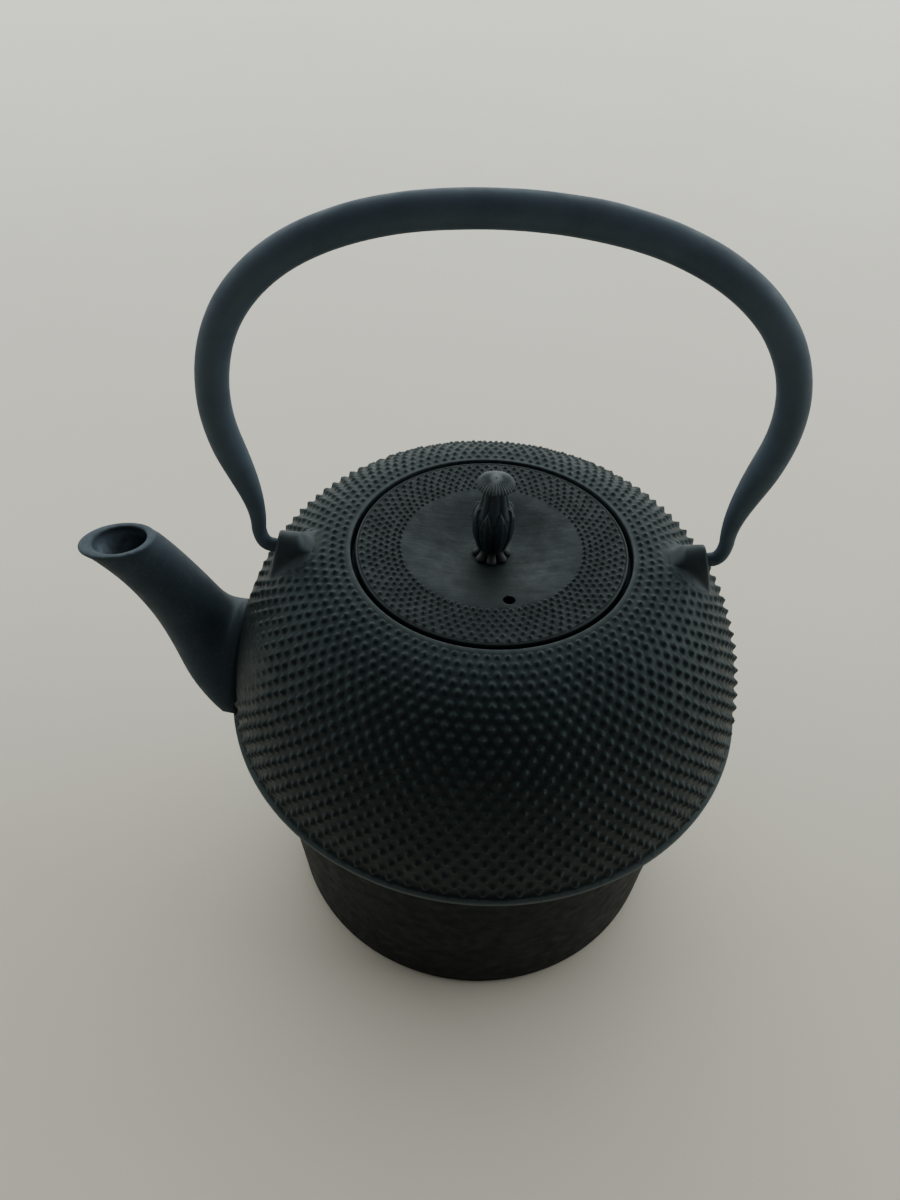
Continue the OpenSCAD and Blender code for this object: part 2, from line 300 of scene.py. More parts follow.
def body():
    """The hollow casting: domed upper part with hobnails, ledge, lower body and floor."""
    columns = NAILS * NAIL_COLUMNS
    angles = np.arange(columns) * 2 * np.pi / columns
    _, dome_length = dome_points(np.zeros(1))
    v = np.arange(-RIM_BAND, ROWS + 0.5, 1 / NAIL_STEPS)
    length = row_place(v)
    v, length = v[length < dome_length], length[length < dome_length]
    dome, _ = dome_points(length)
    normal = outline_normals(dome)
    normal *= np.sign(normal[:, :1].sum())

    u = angles[None, :] * NAILS / (2 * np.pi)
    across = dome[:, :1] * 2 * np.pi / NAILS
    height = hobnails(u, v[:, None], across, np.gradient(length)[:, None] * NAIL_STEPS, NAILS, 11)
    fade = smooth(-RIM_BAND, 0, v) * (1 - smooth(ROWS - 0.6, ROWS - 0.05, v))
    size = 0.60 + 0.40 * smooth(0, 12, v)
    x, y = dome[:, :1] * np.cos(angles), dome[:, :1] * np.sin(angles)
    z = np.broadcast_to(dome[:, 1:], x.shape)
    keep = plain_near_fittings(x, y, z)
    lift = NAIL_H * size[:, None] * fade[:, None] * (height * keep - NAIL_FOOT)
    lift = lift + 0.10 * waves(np.stack([x, y, z], -1), 22, 3)
    dome_r = dome[:, :1] + lift * normal[:, :1]
    dome_z = z + lift * normal[:, 1:]
    dome_wear = 0.3 * np.clip((height * keep - 0.62) / 0.45, 0, 1) * fade[:, None]

    ledge = np.concatenate([
        [[LEDGE_R - 1.35, LEDGE_Z + 0.25]], arc((LEDGE_R - 0.5, LEDGE_Z - 0.35), 0.5, 85, 0, 6),
        arc((LEDGE_R - 0.6, LEDGE_Z - 1.1), 0.6, 0, -60, 4),
        bezier([[LEDGE_R - 1.2, LEDGE_Z - 2.2], [LEDGE_R - 4, LEDGE_Z - 3.4],
                [DRUM_R + 1.2, LEDGE_Z - 3], [DRUM_R, LEDGE_Z - 9]], np.linspace(0.1, 1, 10))])
    foot = arc((BASE_R - 3, 3), 3, 0, -90, 8)
    drum = resample(np.array([ledge[-1], foot[0]]), 1.4)[1:-1]
    under = resample(np.array([foot[-1], [1.0, 0]]), 3.5)[1:]
    outside = np.concatenate([ledge, drum, foot, under])[::-1]

    collar_r, throat_r, seat_z = MOUTH_R + 2, MOUTH_R - 5.5, RIM_Z - LID_T - 0.05
    shoulder = bezier([[LEDGE_R - WALL - 0.8, LEDGE_Z + 3], [LEDGE_R - WALL - 2, LEDGE_Z + 31.5],
                       [MOUTH_R + 24, RIM_Z - WALL - 2.3], [collar_r + 4, RIM_Z - WALL - 1]],
                      np.linspace(0, 1, 26))
    inside = np.concatenate([
        arc((MOUTH_R + 0.5, RIM_Z - 0.5), 0.5, 90, 180, 5),
        [[MOUTH_R, seat_z + 0.3], [MOUTH_R - 0.3, seat_z], [throat_r + 0.5, seat_z]],
        arc((throat_r + 0.5, seat_z - 0.5), 0.5, 90, 180, 4),
        [[throat_r, seat_z - WALL], [collar_r, seat_z - WALL]], shoulder[::-1],
        [[LEDGE_R - WALL - 2, LEDGE_Z + 0.6], [DRUM_R - WALL + 2, LEDGE_Z - 0.6],
         [DRUM_R - WALL, LEDGE_Z - 5], [BASE_R - WALL, FLOOR_T + 2.5],
         [BASE_R - WALL - 2, FLOOR_T], [1.0, FLOOR_T]]])
    inside = resample(inside, 4)

    few = columns // PLAIN
    plain_angles = np.arange(few) * 2 * np.pi / few
    plain_r = np.repeat(outside[:, :1], few, 1)
    plain_z = np.repeat(outside[:, 1:], few, 1)
    normal = outline_normals(outside)
    at = np.stack([plain_r * np.cos(plain_angles), plain_r * np.sin(plain_angles), plain_z], -1)
    on_drum = smooth(1.5, 5, plain_z) * (1 - smooth(LEDGE_Z - 9, LEDGE_Z - 4, plain_z))
    grain = on_drum * (0.10 * waves(at, 26, 5) + 0.05 * waves(at, 7, 6, 40))
    plain_r = plain_r + grain * normal[:, :1]
    # Painted highlight along the ledge's lip, together with rubbing there: the lighter colour is laid on it.
    ledge_wear_and_highlight = 2 * smooth(LEDGE_Z - 2.2, LEDGE_Z - 0.6, plain_z)
    ledge_wear_and_highlight = ledge_wear_and_highlight * smooth(LEDGE_R - 1.5, LEDGE_R - 0.5, plain_r)

    inner_r = np.repeat(inside[:, :1], few, 1)
    inner_z = np.repeat(inside[:, 1:], few, 1)
    edge_wear = 0.9 * np.exp(-((inner_r - MOUTH_R - 0.3) ** 2 + (inner_z - RIM_Z) ** 2) / 0.4)

    points, faces, wear_and_painted_light, first = [], [], [], 0
    for radius, z, wear_and_light_factor in ((plain_r, plain_z, ledge_wear_and_highlight), (dome_r[::-1], dome_z[::-1], dome_wear[::-1]),
                            (inner_r, inner_z, edge_wear)):
        turn = angles if radius.shape[1] == columns else plain_angles
        points.append(np.stack([radius * np.cos(turn), radius * np.sin(turn), z], -1).reshape(-1, 3))
        faces.append(ring_quads(*radius.shape, first=first))
        wear_and_painted_light.append(wear_and_light_factor.ravel())
        first += radius.size
    dome_first = plain_r.size
    inner_first = dome_first + dome_r.size
    faces.append(ring_joins(dome_first - few, dome_first, columns, PLAIN, False))
    faces.append(ring_joins(inner_first - columns, inner_first, columns, PLAIN, True))
    faces.append(np.concatenate([pole_fan(first, 0, few)[:, ::-1], pole_fan(first + 1, first - few, few)]))
    points.append([[0, 0, 0], [0, 0, FLOOR_T]])
    wear_and_painted_light.append([0, 0])
    piece = make_piece("body", np.concatenate(points), faces, np.concatenate(wear_and_painted_light))
    cut_round_hole(piece, (-LEDGE_R + 6, 0, HOLE_Z), (1, 0, 0), HOLE_R, 24)
    return piece


# ---- Spout ----

SPOUT_ROOT = np.array([-LEDGE_R + 3.6, HOLE_Z])
SPOUT_LIP = np.array([-118.1, 152.0])
ROOT_RISE, LIP_RISE = -8.4, 45.6                 # rise of the centre line at its ends, in degrees
ROOT_PULL, LIP_PULL = 17.3, 34.8                 # how far the centre line keeps those directions
ROOT_SLOPE, MID_SLOPE, LIP_SLOPE = 79.4, 24, 6.4   # slope of the sections, in degrees
ROOT_DROP, ROOT_SAG, ROOT_EGG = 2.7, 8.3, 0.26   # the egg shape of the root
ROOT_DEPTH = 1.2                                 # how deep the root is set into the body
# Half sizes of the sections at the root, the middle and the lip: along the slope, and across
OUTER_LONG, OUTER_WIDE = (16.3, 10.9, 12.7), (22.2, 13, 8.6)
INNER_LONG, INNER_WIDE = (13.2, 8.3, 8.8), (19, 10.3, 6.6)
INNER_SHIFT = 0.8                                # how far the channel's mouth is off the lip's middle


def body_radius(z):
    """Radius of the dome without its hobnails at a height."""
    fine = bezier(DOME, np.linspace(0, 1, 400))[::-1]
    return np.interp(z, fine[:, 1], fine[:, 0])


def spout_rings(steps, long, wide, sides, shift=0.0):
    """Rings from the root, inside the body's surface, to the lip."""
    t = np.linspace(0, 1, steps)[:, None]
    a = np.radians((ROOT_RISE, LIP_RISE))
    curve = [SPOUT_ROOT, SPOUT_ROOT + ROOT_PULL * np.array([-np.cos(a[0]), np.sin(a[0])]),
             SPOUT_LIP - LIP_PULL * np.array([-np.cos(a[1]), np.sin(a[1])]), SPOUT_LIP]
    centre = bezier(curve, t[:, 0])
    slope = np.radians(through(ROOT_SLOPE, MID_SLOPE, LIP_SLOPE, t))
    around = np.arange(sides) * 2 * np.pi / sides
    near = (1 - t) ** 5
    along = through(*long, t) * np.cos(around) + shift * t * t
    along = along - near * (ROOT_DROP + ROOT_SAG * np.sin(around) ** 2)
    x = centre[:, :1] + along * np.cos(slope)
    y = through(*wide, t) * np.sin(around) * (1 - ROOT_EGG * near * np.cos(around))
    z = centre[:, 1:] + along * np.sin(slope)
    x[0] = -np.sqrt((body_radius(z[0]) - ROOT_DEPTH) ** 2 - y[0] ** 2)
    return np.stack([x, y, z], -1)


def spout():
    """The hollow spout, from inside the body's wall to a ground lip with rounded edges."""
    sides, steps = 112, 64
    outside = spout_rings(steps, OUTER_LONG, OUTER_WIDE, sides)
    inside = spout_rings(steps, INNER_LONG, INNER_WIDE, sides, INNER_SHIFT)
    out_lip, in_lip = outside[-1], inside[-1]
    middle, half = (out_lip + in_lip) / 2, (out_lip - in_lip) / 2
    up = np.array([np.sin(np.radians(-LIP_SLOPE)), 0, np.cos(np.radians(LIP_SLOPE))])
    turn = np.radians(np.linspace(0, 180, 15))
    lip = [middle + half * np.sign(np.cos(a)) * abs(np.cos(a)) ** 0.6 + up * 0.8 * (np.sin(a) ** 0.6 - 1)
           for a in turn]
    rings = np.concatenate([outside[:-2], np.array(lip), inside[:-2][::-1]])
    uneven = waves(rings, 15, 21)[..., None] * (rings - rings.mean(1, keepdims=True)) / 12
    rings[1:-1] += 0.09 * uneven[1:-1]
    wear_and_painted_light = np.zeros(rings.shape[:2])
    first = len(outside) - 2
    wear_and_painted_light[first:first + len(turn)] = 0.75 * np.sin(turn)[:, None]
    # Painted light inside the channel: the lighter colour is strongest at the lip and fades deeper in, where
    # shade falls.
    wear_and_painted_light[first + len(turn):] = np.exp(-(np.arange(len(inside) - 2) / 42) ** 2)[:, None]
    faces = [ring_quads(len(rings), sides, closed=True)]
    return make_piece("spout_casting", rings.reshape(-1, 3), faces, wear_and_painted_light)


# ---- Lugs ----

LUG_R = 5                  # radius of the rounded top, round the pivot
LUG_LENGTH = 12.2
LUG_LEAN = 0.25            # how much the outer face leans out, for each millimetre down
LUG_FALL = 1.4             # fall of the top along the lug


def dome_height(radius):
    """Height of the dome without its hobnails at a radius."""
    fine = bezier(DOME, np.linspace(0, 1, 400))
    return np.interp(radius, fine[:, 0], fine[:, 1])


def lug(name, side):
    """A lug: rounded ridge with a flat, leaning outer face and a bore, faired into the dome."""
    edge = 0.9
    turn = np.radians(np.linspace(90, 0, 6))
    depths = np.concatenate([edge * (1 - np.sin(turn)), np.linspace(edge + 0.7, LUG_LENGTH, 18)])
    insets = np.concatenate([edge * (1 - np.cos(turn)), np.zeros(18)])
    sections = []
    for depth, inset in zip(depths, insets):
        share = depth / LUG_LENGTH
        lean = LUG_LEAN * (1 - smooth(0, 10, depth))
        top = PIVOT_Z + LUG_R - inset - LUG_FALL * share
        high = (top - dome_height(LUG_X - depth + lean * (PIVOT_Z - top))) * (1 - smooth(0.56, 1, share))
        high = high - 0.25 * smooth(0.85, 1, share)
        top_r = LUG_R - inset - 1.6 * share ** 3
        cap = min(top_r, 0.8 * abs(high))
        run = 1.3 + 3.6 * smooth(0, 0.6, share) - 1.8 * smooth(0.7, 1, share)
        wide = top_r + run
        side_top = high - cap
        angle = np.radians(np.linspace(0, 84, 12))
        crown = np.stack([top_r * np.sin(angle), side_top + cap * np.cos(angle)], 1)
        corners = [crown[-1], [top_r + 0.12 * run, 0.42 * side_top], [wide - 0.6 * run, 0.0], [wide, -0.15]]
        fillet = bezier(corners, np.linspace(0, 1, 14)[1:])
        half = np.concatenate([crown, fillet, [[wide + 1.2, -2.0]]])
        section = np.concatenate([half[::-1], half[1:] * [-1, 1]])
        x = np.full(len(section), LUG_X - depth)
        for _ in range(4):
            z = dome_height(np.hypot(x, section[:, 0])) + section[:, 1]
            x = LUG_X - depth + lean * (PIVOT_Z - z)
        sections.append(np.stack([side * x, section[:, 0], z], 1))
    rings = np.array(sections)
    count = rings.shape[1]
    rings[6:] += 0.07 * waves(rings[6:], 6, 31)[..., None] * [0, 1, 1]
    ends = [np.arange(count)[None, :], ((len(rings) - 1) * count + np.arange(count))[::-1][None, :]]
    wear_and_painted_light = np.zeros(rings.shape[:2])
    wear_and_painted_light[1:5] = 0.5
    piece = make_piece(name, rings.reshape(-1, 3), [ring_quads(len(rings), count)] + ends, wear_and_painted_light)
    cut_round_hole(piece, (side * (LUG_X - 2.5), 0, PIVOT_Z), (1, 0, 0), BORE_R, 7)
    return piece


# ---- Lid ----

VENT = (5.0, -24.1)
VENT_R = 1.9
STEM_BORE_R = 2.1
LID_NAIL_H = 0.78
LID_FIRST_ROW = 28.95      # radius of the innermost ring of hobnails
LID_ROW_PITCH = 1.92
LID_ROWS = 7
SKIRT_R = MOUTH_R - 6.5
SKIRT_H = 7
FLAT_R = 7                 # flat in the middle, under the knob


def lid():
    """The lid: plain margin, a band of small hobnails, and a smooth dished centre."""
    columns = LID_NAILS * NAIL_COLUMNS
    angles = np.arange(columns) * 2 * np.pi / columns
    v = np.arange(-0.45, LID_ROWS - 0.3, 1 / 7)
    band = np.stack([LID_FIRST_ROW + LID_ROW_PITCH * v, np.full(len(v), RIM_Z)], 1)
    centre = np.concatenate([np.linspace(STEM_BORE_R, FLAT_R, 6)[:-1],
                             np.linspace(FLAT_R, DISH_R - 0.2, 26)])
    turn = np.pi * np.clip((centre - FLAT_R) / (DISH_R - FLAT_R), 0, 1)
    centre = np.stack([centre, DISH_Z + DISH_DEPTH * (1 - np.cos(turn)) / 2], 1)
    rim = np.concatenate([[[LID_R - 0.95, RIM_Z]],
                          arc((LID_R - 0.7, RIM_Z - 0.7), 0.7, 90, 0, 6)])
    low = RIM_Z - LID_T
    under = np.array([[LID_R, low + 0.3], [LID_R - 0.3, low], [SKIRT_R, low],
                      [SKIRT_R, low - SKIRT_H + 0.4], [SKIRT_R - 0.4, low - SKIRT_H],
                      [SKIRT_R - 2, low - SKIRT_H], [SKIRT_R - 3, low - 0.4], [SKIRT_R - 3.6, low]])
    back = centre[::-1] - [0, 4.4]
    under = resample(np.concatenate([under, back[:1]]), 3)[:-1]
    outline = np.concatenate([centre, band, rim, under, back])
    radius = np.repeat(outline[:, :1], columns, 1)
    z = np.repeat(outline[:, 1:], columns, 1)

    u = angles[None, :] * LID_NAILS / (2 * np.pi)
    across = band[:, :1] * 2 * np.pi / LID_NAILS
    height = hobnails(u, v[:, None], across, LID_ROW_PITCH, LID_NAILS, 12)
    fade = (smooth(-0.45, -0.2, v) * (1 - smooth(LID_ROWS - 0.7, LID_ROWS - 0.35, v)))[:, None]
    rows_at = slice(len(centre), len(centre) + len(band))
    z[rows_at] += LID_NAIL_H * fade * (height - NAIL_FOOT)
    at = np.stack([radius * np.cos(angles), radius * np.sin(angles), z], -1)
    top = slice(1, len(centre))
    z[top] += 0.05 * waves(at[top], 9, 41) + 0.03 * np.sin(radius[top] * 4.2) * smooth(24, 12, radius[top])
    wear_and_painted_light = np.zeros(radius.shape)
    wear_and_painted_light[rows_at] = np.clip((height - 0.62) / 0.5, 0, 1) * fade
    wear_and_painted_light[len(centre) + len(band) + 1:len(centre) + len(band) + 5] = 0.5
    piece = turned("lid", radius, z, angles, wear_and_painted_light, closed=True)
    cut_round_hole(piece, (VENT[0], VENT[1], RIM_Z - 4), (0, 0, 1), VENT_R, 16)
    return piece


# ---- Knob ----

PETALS = 8
RIBS = 36
CAP_R = 5.7
CAP_H = 3.5


def knob():
    """The knob: a bud in a ring of sepals, a fluted neck and a thin ribbed cap."""
    low, high = span("knob")
    foot, top = low[2], high[2]
    neck = top - foot - CAP_H
    columns = PETALS * 27
    angles = np.arange(columns) * 2 * np.pi / columns
    bud_z = np.linspace(0, neck, 96)
    bud_r = np.interp(bud_z, [0, 1.2, 3, 5, 7, 10.5, 13.8, 16.5, 19, 21.5, neck],
                      [3.9, 4.4, 4.95, 5.6, 6.05, 6.3, 6.0, 4.7, 4.2, 3.8, 3.7])
    kernel = np.hanning(9) / np.hanning(9).sum()
    bud_r = np.convolve(np.pad(bud_r, 4, mode="edge"), kernel, mode="valid")
    phase = (angles * PETALS / (2 * np.pi)) % 1 - 0.5
    tip = 8.5 + 7.6 * (1 - (2 * np.abs(phase)) ** 1.5)
    z = np.repeat(bud_z[:, None], columns, 1)
    sepal = 1 - smooth(tip - 0.25, tip + 0.25, z)
    gap = np.exp(-((np.abs(phase) - 0.5) / 0.055) ** 2) * smooth(0.3, 1.5, z)
    vein = np.exp(-(phase / 0.05) ** 2)
    inner = (angles * PETALS / (2 * np.pi) + 0.5) % 1 - 0.5
    flute = np.abs(np.cos(np.pi * inner)) - 0.6
    edge = 0.25 * (2 * np.abs(phase)) ** 4
    radius = bud_r[:, None] - 0.35 + sepal * (0.78 - 0.6 * gap + 0.12 * vein - edge)
    radius += (1 - sepal) * 0.55 * flute * smooth(4, 8, z) * (1 - 0.35 * smooth(16, neck, z))

    cap = np.concatenate([
        [[3.5, neck + 0.2], [4.4, neck + 0.5]], arc((CAP_R - 0.55, neck + 1.15), 0.55, -60, 30, 6),
        bezier([[CAP_R - 0.12, neck + 1.5], [CAP_R * 0.9, neck + 2.7], [CAP_R * 0.5, neck + CAP_H],
                [0.3, neck + CAP_H]], np.linspace(0.08, 1, 22))])
    cap_radius = np.repeat(cap[:, :1], columns, 1)
    cap_z = np.repeat(cap[:, 1:], columns, 1)
    rib = np.cos(angles * RIBS)
    strength = smooth(1.0, 3.5, cap_radius)
    upper = smooth(neck + 1.2, neck + 1.7, cap_z)
    cap_z += 0.13 * rib * strength * upper
    cap_radius += 0.12 * rib * smooth(4.6, 5.6, cap_radius)
    wear_and_painted_light = np.concatenate([0.25 * sepal * vein + 0.2 * np.clip(flute * (1 - sepal), 0, 1),
                           0.35 + 0.5 * upper * (0.5 + 0.5 * rib)])
    return turned("knob_bud", np.concatenate([radius, cap_radius]), foot + np.concatenate([z, cap_z]),
                  angles, wear_and_painted_light)


def knob_seat():
    """The collar under the knob: a small flower with its petals turned down."""
    foot = span("knob_seat")[0][2]
    columns = PETALS * 24
    angles = np.arange(columns) * 2 * np.pi / columns
    outline = np.concatenate([
        [[STEM_BORE_R, 0.05], [5.4, 0.0]], arc((5.75, 0.42), 0.4, -80, 40, 7),
        bezier([[6.1, 0.7], [5.5, 1.5], [4.5, 1.7], [4.15, 2.8]], np.linspace(0.08, 1, 10)),
        [[4.0, 3.0], [STEM_BORE_R, 3.0]]])
    outline = resample(outline, 0.35)
    radius = np.repeat(outline[:, :1], columns, 1)
    z = np.repeat(outline[:, 1:], columns, 1)
    lobe = np.abs(np.cos(angles * PETALS / 2)) ** 0.45
    out = smooth(3.2, 6.0, radius)
    radius = radius - 2.4 * (1 - lobe) * out
    z = z + 0.3 * (lobe - 1) * out * smooth(0.3, 1.2, z)
    wear_and_painted_light = 0.35 * out * lobe
    return turned("seat_flower", radius, foot + z, angles, wear_and_painted_light, closed=True)


# ---- Handle ----

HOOK_X = LUG_X + 4.4       # where the arm stands, outside its lug
HOOK_Z = 7                 # height over the pivot where the hook ends and the arm begins
WIDEST_Z = 51              # height over the pivot where the arms stand furthest apart
CROWN_REACH = 54           # length of the curve's handle along the crown
TAPER_LOW, TAPER_RUN = 4, 34   # where the bar's taper begins over the pivot, and how long it is


def handle():
    """The bail: a round bar that thins down its arms to hooked pins."""
    hook_r = PIN_R + 0.25
    side = span("bail_handle")[1][0] - BAR_R
    inner = np.stack([np.linspace(LUG_X - 5.6, LUG_X + 0.9, 7)[:-1], np.zeros(6)], 1)
    arms = np.concatenate([
        inner,
        bezier([[LUG_X + 0.9, 0], [HOOK_X - 1, 0.2], [HOOK_X + 0.2, 2.2], [HOOK_X + 0.3, HOOK_Z]],
               np.linspace(0, 1, 18)),
        bezier([[HOOK_X + 0.3, HOOK_Z], [HOOK_X - 1.5, 22.6], [side, WIDEST_Z - 16], [side, WIDEST_Z]],
               np.linspace(0, 1, 40)[1:])])
    halves = []
    for way in (-1, 1):
        middle = -way * CROWN_OFF
        crown = [[side, WIDEST_Z], [side, WIDEST_Z + 30.7], [middle + CROWN_REACH, BAIL_H], [middle, BAIL_H]]
        halves.append(np.concatenate([arms, bezier(crown, np.linspace(0, 1, 70)[1:])]) * [way, 1])
    line = np.concatenate([halves[0], halves[1][-2::-1]])
    u = np.clip((line[:, 1] - TAPER_LOW) / TAPER_RUN, 0, 1)
    radius = hook_r + (BAR_R - hook_r) * u * u * (3 - 2 * u)
    in_bore = (np.abs(line[:, 0]) < LUG_X + 0.4) & (line[:, 1] < 1)
    radius = np.where(in_bore, PIN_R, radius)
    normal = outline_normals(line)
    sides = 40
    a = np.arange(sides) * 2 * np.pi / sides
    flat = 1 - 0.07 * np.sin(np.pi * u[:, None]) * np.abs(np.cos(2 * a)) ** 3
    r = radius[:, None] * flat
    x = line[:, :1] + r * np.cos(a) * normal[:, :1]
    z = PIVOT_Z + line[:, 1:] + r * np.cos(a) * normal[:, 1:]
    rings = np.stack([x, r * np.sin(a), z], -1)
    centre = np.stack([line[:, 0], 0 * line[:, 0], PIVOT_Z + line[:, 1]], 1)[:, None]
    rings = centre + (rings - centre) * (1 + 0.012 * u[:, None, None] * waves(rings, 16, 51)[..., None])
    points = np.concatenate([rings.reshape(-1, 3), centre[0], centre[-1]])
    count = len(rings)
    fans = np.concatenate([pole_fan(count * sides, 0, sides)[:, ::-1],
                           pole_fan(count * sides + 1, (count - 1) * sides, sides)])
    return make_piece("handle_bar", points, [ring_quads(count, sides), fans])


# ---- Materials ----

def link(tree, source, target):
    """Joins two sockets."""
    tree.links.new(source, target)


def stretched(tree, coords, factors):
    """Coordinates scaled along each axis."""
    node = tree.nodes.new("ShaderNodeVectorMath")
    node.operation = "MULTIPLY"
    node.inputs[1].default_value = factors
    link(tree, coords, node.inputs[0])
    return node.outputs[0]


def noise(tree, coords, scale, detail=6, roughness=0.6):
    """A noise texture's factor."""
    node = tree.nodes.new("ShaderNodeTexNoise")
    node.inputs["Scale"].default_value = scale
    node.inputs["Detail"].default_value = detail
    node.inputs["Roughness"].default_value = roughness
    link(tree, coords, node.inputs["Vector"])
    return node.outputs["Fac"]


def spread(tree, value, low, high, to_low, to_high):
    """A value moved from one range to another and clamped."""
    node = tree.nodes.new("ShaderNodeMapRange")
    for name, number in (("From Min", low), ("From Max", high), ("To Min", to_low), ("To Max", to_high)):
        node.inputs[name].default_value = number
    link(tree, value, node.inputs["Value"])
    return node.outputs["Result"]


def mixed(tree, factor, first, second):
    """A colour mixed by a factor; first and second are colours or sockets."""
    node = tree.nodes.new("ShaderNodeMix")
    node.data_type = "RGBA"
    link(tree, factor, node.inputs[0])
    for socket, value in ((node.inputs[6], first), (node.inputs[7], second)):
        if isinstance(value, bpy.types.NodeSocket):
            link(tree, value, socket)
        else:
            socket.default_value = (*value, 1)
    return node.outputs[2]


def bumped(tree, height, distance, before=None):
    """A bump of that depth in millimetres, on top of an earlier one."""
    node = tree.nodes.new("ShaderNodeBump")
    node.inputs["Strength"].default_value = 1
    node.inputs["Distance"].default_value = distance * MM
    link(tree, height, node.inputs["Height"])
    if before is not None:
        link(tree, before, node.inputs["Normal"])
    return node.outputs["Normal"]


def iron(name, colour, rubbed_and_lit, rough, grain, sheen=(1, 1, 1), shine=0.42, streaks=0.0, painted_shade_below=None):
    """Cast iron: mottled dark colour, sandy bump, faint stains, and a lighter colour laid where the mesh's
    painted values are high, for rubbed edges and for painted highlights.

    grain and streaks are depths in millimetres. Below the height given as the last argument it is darker and
    duller: painted shade."""
    material = bpy.data.materials.new(name)
    material.use_nodes = True
    tree = material.node_tree
    shader = tree.nodes["Principled BSDF"]
    coords = tree.nodes.new("ShaderNodeTexCoord").outputs["Object"]
    wear_and_painted_light = tree.nodes.new("ShaderNodeAttribute")
    wear_and_painted_light.attribute_name = "wear_and_painted_light"
    broad = noise(tree, coords, 38, 5)
    fine = noise(tree, coords, 900, 4, 0.65)
    dark = tuple(c * 0.72 for c in colour)
    base = mixed(tree, spread(tree, broad, 0.35, 0.65, 0, 1), dark, colour)
    brown = (colour[0] * 1.12, colour[1] * 1.0, colour[2] * 0.94)
    base = mixed(tree, spread(tree, noise(tree, coords, 130, 6), 0.55, 0.75, 0, 0.55), base, brown)
    base = mixed(tree, spread(tree, fine, 0.58, 0.72, 0, 0.35), base, rubbed_and_lit)
    # Where the mesh's painted values are high the lighter colour is laid on: rubbed wear, the painted
    # highlight on the ledge's lip and painted light inside the spout.
    wear_and_light_factor = tree.nodes.new("ShaderNodeMath")
    wear_and_light_factor.operation = "MULTIPLY"
    link(tree, wear_and_painted_light.outputs["Fac"], wear_and_light_factor.inputs[0])
    link(tree, spread(tree, noise(tree, coords, 420, 5), 0.35, 0.65, 0.35, 1), wear_and_light_factor.inputs[1])
    base = mixed(tree, wear_and_light_factor.outputs[0], base, rubbed_and_lit)
    # Painted shade: below the given height the colour turns darker and the specular weaker, as under the
    # ledge.
    if painted_shade_below:
        split = tree.nodes.new("ShaderNodeSeparateXYZ")
        link(tree, coords, split.inputs[0])
        edge = (painted_shade_below * MM, (painted_shade_below + 2) * MM)
        base = mixed(tree, spread(tree, split.outputs["Z"], *edge, 0.7, 0), base, (0.0006, 0.0018, 0.0022))
        link(tree, spread(tree, split.outputs["Z"], *edge, shine * 0.36, shine),
             shader.inputs["Specular IOR Level"])
    else:
        shader.inputs["Specular IOR Level"].default_value = shine
    link(tree, base, shader.inputs["Base Color"])
    link(tree, spread(tree, noise(tree, coords, 210, 5), 0.3, 0.7, rough - 0.08, rough + 0.10),
         shader.inputs["Roughness"])
    normal = bumped(tree, noise(tree, coords, 1500, 3), grain)
    normal = bumped(tree, noise(tree, coords, 420, 5), grain * 1.6, normal)
    if streaks:
        drawn_out = stretched(tree, coords, (0.25, 1, 1))
        normal = bumped(tree, noise(tree, drawn_out, 300, 5), streaks, normal)
    link(tree, normal, shader.inputs["Normal"])
    shader.inputs["Metallic"].default_value = 0.0
    shader.inputs["Specular Tint"].default_value = (*sheen, 1)
    return material


def paint(piece, material):
    """Gives a piece its only material."""
    piece.data.materials.clear()
    piece.data.materials.append(material)


# The body's lower part, under the ledge, gets painted shade: a darker colour and a weaker specular.
BODY_IRON = iron("body_iron", (0.0072, 0.0104, 0.0108), (0.060, 0.071, 0.073), rough=0.56, grain=0.030,
                 sheen=(0.72, 0.97, 1.0), shine=0.32, painted_shade_below=LEDGE_Z - 3)
# The spout's lighter, bluish colour is partly painted light: it stands in for the bluish fill that lights
# it.
SPOUT_IRON = iron("spout_iron", (0.041, 0.056, 0.071), (0.105, 0.136, 0.162), rough=0.60, grain=0.020,
                  sheen=(0.66, 0.86, 1.0), shine=0.27)
# The lugs' lighter, bluish colour stands in for the light on them: painted light on the body's own iron.
LUG_IRON = iron("lug_iron", (0.030, 0.038, 0.043), (0.062, 0.072, 0.078), rough=0.58, grain=0.022,
                sheen=(0.78, 0.95, 1.0), shine=0.40)
LID_IRON = iron("lid_iron", (0.0074, 0.0102, 0.0110), (0.046, 0.055, 0.057), rough=0.58, grain=0.024,
                sheen=(0.80, 0.98, 1.0), shine=0.325, streaks=0.22)
KNOB_IRON = iron("knob_iron", (0.017, 0.028, 0.033), (0.140, 0.152, 0.155), rough=0.52, grain=0.016,
                 sheen=(0.8, 0.95, 1.0), shine=0.4)
SEAT_IRON = iron("seat_iron", (0.012, 0.0165, 0.0170), (0.034, 0.038, 0.037), rough=0.56, grain=0.020)
STEM_IRON = iron("stem_iron", (0.06, 0.058, 0.055), (0.12, 0.12, 0.12), rough=0.55, grain=0.018)
# The handle's lighter, bluish colour is partly painted light, standing in for the bluish fill on it.
HANDLE_IRON = iron("handle_iron", (0.064, 0.087, 0.113), (0.080, 0.106, 0.134), rough=0.58, grain=0.014,
                   sheen=(0.60, 0.84, 1.0), shine=0.32)


# ---- Pieces on their bodies ----

def place(piece, material, body_name, node):
    """Paints a piece, sets it on its CAD body and has it stand for a node."""
    paint(piece, material)
    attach(piece, body_name)
    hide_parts(node)


